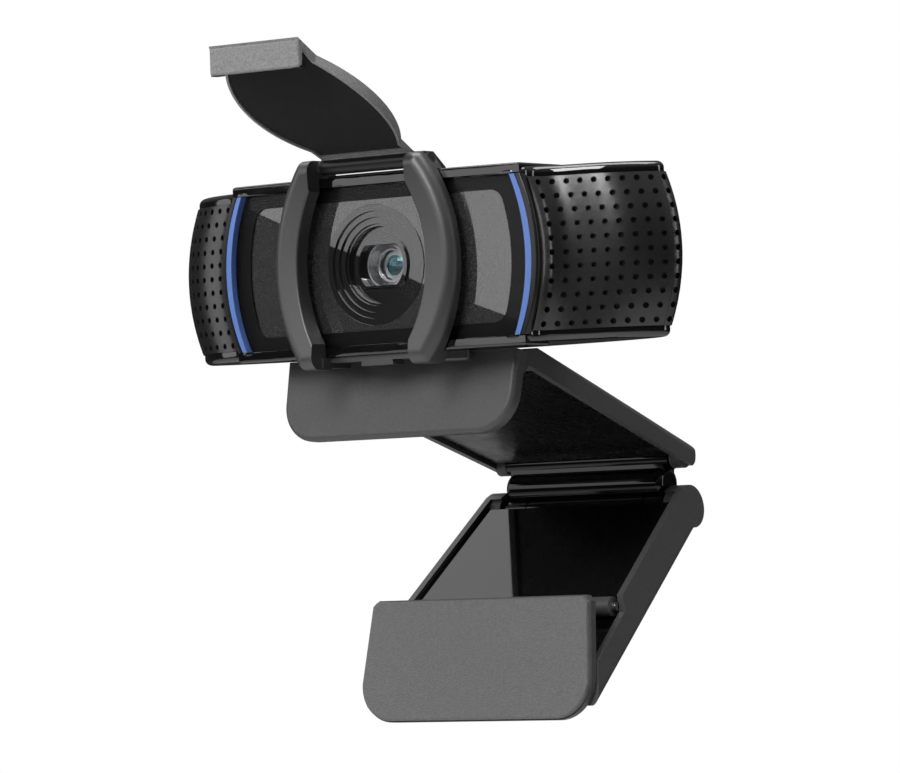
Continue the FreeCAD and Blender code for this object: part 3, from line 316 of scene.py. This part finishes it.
LOOKS = {
    "shutter_gray": moulded("shutter_gray", 0.21, 0.38, 0.22, 0.006, Specular_IOR_Level=1.0),
    "lid_gray": moulded("lid_gray", 0.52, 0.42, 0.2, 0.016, 0.25),
    "hinge_black": moulded("hinge_black", 0.07, 0.35, 0.25, 0.003),
    "cap_black": glossy_black("cap_black", 0.04, 0.06, shine=1.0),
    "grille_black": moulded("grille_black", 0.10, 0.24, 0.3, 0.004, Specular_IOR_Level=1.0),
    "bezel_black": moulded("bezel_black", 0.10, 0.22, 0.3, 0.002),
    "clip_charcoal": moulded("clip_charcoal", 0.29, 0.45, 0.25, 0.008),
    "clip_gloss": glossy_black("clip_gloss", 0.05, 0.05),
    "soft_pad": leathery("soft_pad", 0.40, 0.55),
    "felt": felt("felt"),
    "window_glass": clear("window_glass", (0.65, 0.65, 0.65), 0.002),
    "mask_black": lacquered("mask_black", 0.02, 0.5, 1.17, 0.3, 0.001, 0.1),
    "plate_gray": lacquered("plate_gray", 0.18, 0.55, 2.0),
    "lamp_blue": moulded("lamp_blue", 0.75, 0.3, 0.3, 0.002, 0.05, (0.20, 0.38, 1.0)),
    "lens_glass": clear("lens_glass", (0.35, 0.75, 0.85), 0.05),
    "barrel_gray": metal("barrel_gray", (0.5, 0.5, 0.51), 0.32, (1, 1, 1)),
    "steel": metal("steel", (0.6, 0.6, 0.62), 0.25),
    "brass": metal("brass", (0.80, 0.60, 0.30), 0.25),
    "board_green": board("board_green"),
    "chip_black": moulded("chip_black", 0.16, 0.3, 0.2, 0.003),
    "lamp_white": moulded("lamp_white", 0.9, 0.4, 0.3, 0.003, 0.03),
    "aluminium": metal("aluminium", (0.75, 0.75, 0.77), 0.35),
    "silicone": moulded("silicone", 0.16, 0.6, 0.3, 0.01),
}
# nodes whose finish differs from their slot's
SPECIAL = {
    "lens_surround": lacquered("surround_black", 0.055, 0.42, 1.9, 0.2, 0.002, 0.1),
    "arm_liner": glossy_black("arm_liner", 0.06, 0.26, 0.0002),
    # the lens element gets painted reflections of its coating in its base colour
    "lens_inner_element": lens_painted_reflections("lens_painted_reflection_look"),
}

for part in frame["record"]["subparts"]:
    piece = nodes[part["node"]]
    piece.data.materials.clear()
    piece.data.materials.append(SPECIAL.get(part["node"], LOOKS[part["material_slot"]]))


# ---- detail that the model leaves out ----

def add_piece(name, mesh, body, look):
    piece = bpy.data.objects.new(name, mesh)
    bpy.context.collection.objects.link(piece)
    mesh.materials.append(look)
    for face in mesh.polygons:
        face.use_smooth = True
    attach(piece, body)


def lathe(name, profile, place, segments=96):
    """A closed ring turned about the Y axis from a closed profile of (radius, y) in millimetres."""
    shape = bmesh.new()
    rings = []
    for step in range(segments):
        angle = 2 * math.pi * step / segments
        ring = [shape.verts.new((r * MM * math.cos(angle), y * MM, r * MM * math.sin(angle)))
                for r, y in profile]
        rings.append(ring)
    count = len(profile)
    for step in range(segments):
        here = rings[step]
        there = rings[(step + 1) % segments]
        for k in range(count):
            shape.faces.new((here[k], here[(k + 1) % count], there[(k + 1) % count], there[k]))
    bmesh.ops.recalc_face_normals(shape, faces=shape.faces)
    shape.transform(place)
    mesh = bpy.data.meshes.new(name)
    shape.to_mesh(mesh)
    shape.free()
    return mesh


def round_profile(r, y, radius, sides=12):
    return [(r + radius * math.cos(2 * math.pi * k / sides), y + radius * math.sin(2 * math.pi * k / sides))
            for k in range(sides)]


def lens_detail():
    """Bright rim at the foot of the funnel, and a ring in the pupil's bore behind the front element."""
    for name, r, y, radius in LENS_RINGS:
        mesh = lathe(name, round_profile(r, y, radius), HEAD_PLACE)
        add_piece(name, mesh, "head", LOOKS["barrel_gray"])


def gland_detail():
    """Flexing ribs round the tapering cable inlet."""
    place = HEAD_PLACE @ Matrix.Translation(Vector((0, 0, -GLAND_DROP)) * MM)
    for index, (y, r) in enumerate(GLAND_RIBS):
        mesh = lathe("gland_rib_%d" % index, round_profile(r, y, RIB_ROUND), place, 64)
        add_piece("gland_rib_%d" % index, mesh, "head", LOOKS["silicone"])


def thread_detail():
    """The tripod thread, as a helical ridge on the bush's bore."""
    place = Matrix.Translation(THREAD_MOUTH) @ THREAD_INWARD.to_track_quat("Z", "Y").to_matrix().to_4x4()
    shape = bmesh.new()
    count = int(THREAD_TURNS * THREAD_STEPS) + 1
    sections = []
    for k in range(count):
        angle = 2 * math.pi * k / THREAD_STEPS
        rise = THREAD_START + THREAD_PITCH * k / THREAD_STEPS
        ends = min(k, count - 1 - k) / THREAD_FADE
        peak = THREAD_ROOT - (THREAD_ROOT - THREAD_CREST) * min(1.0, ends)
        profile = ((THREAD_ROOT, -THREAD_BASE), (peak, -THREAD_TIP), (peak, THREAD_TIP),
                   (THREAD_ROOT, THREAD_BASE))
        sections.append([shape.verts.new((r * math.cos(angle) * MM, r * math.sin(angle) * MM,
                                          (rise + z) * MM)) for r, z in profile])
    for a, b in zip(sections, sections[1:]):
        for k in range(4):
            shape.faces.new((a[k], a[(k + 1) % 4], b[(k + 1) % 4], b[k]))
    shape.faces.new(sections[0])
    shape.faces.new(sections[-1][::-1])
    bmesh.ops.recalc_face_normals(shape, faces=shape.faces)
    shape.transform(place)
    mesh = bpy.data.meshes.new("tripod_thread")
    shape.to_mesh(mesh)
    shape.free()
    add_piece("tripod_thread", mesh, "leg", LOOKS["brass"])


lens_detail()
gland_detail()
thread_detail()


# ---- camera, light, floor ----

def add_camera():
    data = bpy.data.cameras.new("camera")
    data.lens = CAMERA_LENS
    data.clip_start = 0.05
    data.clip_end = 20
    camera = bpy.data.objects.new("camera", data)
    bpy.context.collection.objects.link(camera)
    place = Vector(CAMERA_PLACE) * MM
    target = Vector(CAMERA_TARGET) * MM
    camera.location = place
    camera.rotation_euler = (target - place).to_track_quat("-Z", "Y").to_euler()
    bpy.context.scene.camera = camera


def area_light(name, place, aim, width, height, radiance, roll=0.0, lift=0.0):
    """An area light of a given brightness, raised by lift in its own plane; metres and degrees."""
    data = bpy.data.lights.new(name, "AREA")
    data.shape = "RECTANGLE"
    data.size = width
    data.size_y = height
    data.energy = radiance * math.pi * width * height
    light = bpy.data.objects.new(name, data)
    bpy.context.collection.objects.link(light)
    place = Vector(place)
    turn = (Vector(aim) - place).to_track_quat("-Z", "Y").to_matrix().to_4x4()
    light.matrix_world = (Matrix.Translation(place) @ turn @ Matrix.Rotation(math.radians(roll), 4, "Z")
                          @ Matrix.Translation((0, lift, 0)))
    light.visible_camera = False


def edge_card(name, edge, aim, width, height, radiance, roll):
    """A card whose lower edge passes through a given point, sloping by roll."""
    area_light(name, edge, aim, width, height, radiance, roll, height / 2)


def polar(azimuth, elevation, distance):
    """A place round the frame's origin: azimuth 0 in front of the lens, positive to the right."""
    a = math.radians(azimuth)
    e = math.radians(elevation)
    return (distance * math.sin(a) * math.cos(e), -distance * math.cos(a) * math.cos(e),
            distance * math.sin(e))


def add_lights():
    edge_card("window_card", DESIGN_ORIGIN + MIRRORED, DESIGN_ORIGIN, 0.9, 0.6, 1.3, WINDOW_CARD_ROLL)
    for name, azimuth, elevation, distance, width, height, radiance in LIGHTS:
        area_light(name, polar(azimuth, elevation, distance), HEAD_MIDDLE, width, height, radiance)


def add_world():
    """White behind the object; a dim room with a lighter ceiling for light and reflections."""
    world = bpy.data.worlds.new("world")
    bpy.context.scene.world = world
    world.use_nodes = True
    tree = world.node_tree
    white = tree.nodes["Background"]
    white.inputs["Color"].default_value = (1, 1, 1, 1)
    white.inputs["Strength"].default_value = 1.0
    room = tree.nodes.new("ShaderNodeBackground")
    coords = tree.nodes.new("ShaderNodeTexCoord")
    split = tree.nodes.new("ShaderNodeSeparateXYZ")
    path = tree.nodes.new("ShaderNodeLightPath")
    mix = tree.nodes.new("ShaderNodeMixShader")
    lift = tree.nodes.new("ShaderNodeMapRange")
    lift.inputs["From Min"].default_value = -1.0
    tree.links.new(coords.outputs["Generated"], split.inputs["Vector"])
    tree.links.new(split.outputs["Z"], lift.inputs["Value"])
    greys = colour_ramp(tree, lift.outputs["Result"], [(place, [level] * 3) for place, level in ROOM])
    tree.links.new(greys, room.inputs["Color"])
    tree.links.new(path.outputs["Is Camera Ray"], mix.inputs["Fac"])
    tree.links.new(room.outputs["Background"], mix.inputs[1])
    tree.links.new(white.outputs["Background"], mix.inputs[2])
    tree.links.new(mix.outputs["Shader"], tree.nodes["World Output"].inputs["Surface"])


def add_floor():
    mesh = bpy.data.meshes.new("floor")
    shape = bmesh.new()
    bmesh.ops.create_circle(shape, cap_ends=True, segments=96, radius=FLOOR_RADIUS)
    shape.to_mesh(mesh)
    shape.free()
    floor = bpy.data.objects.new("floor", mesh)
    bpy.context.collection.objects.link(floor)
    floor.location = (0, 0, FLOOR_HEIGHT)
    material, tree, shader = new_material("floor")
    tree.links.new(two_tone(tree, noise(tree, 4.0, 3), [0.80] * 3, [0.84] * 3), shader.inputs["Base Color"])
    socket(shader, "Roughness", 0.7)
    # pale to the eye, without throwing light up at the object
    path = tree.nodes.new("ShaderNodeLightPath")
    glow = tree.nodes.new("ShaderNodeMath")
    glow.operation = "MULTIPLY"
    glow.inputs[1].default_value = FLOOR_GLOW
    tree.links.new(path.outputs["Is Camera Ray"], glow.inputs[0])
    tree.links.new(glow.outputs["Value"], shader.inputs["Emission Strength"])
    socket(shader, "Emission Color", (1, 1, 1, 1))
    mesh.materials.append(material)


add_camera()
add_lights()
add_world()
add_floor()
bpy.context.scene.view_settings.view_transform = "Standard"
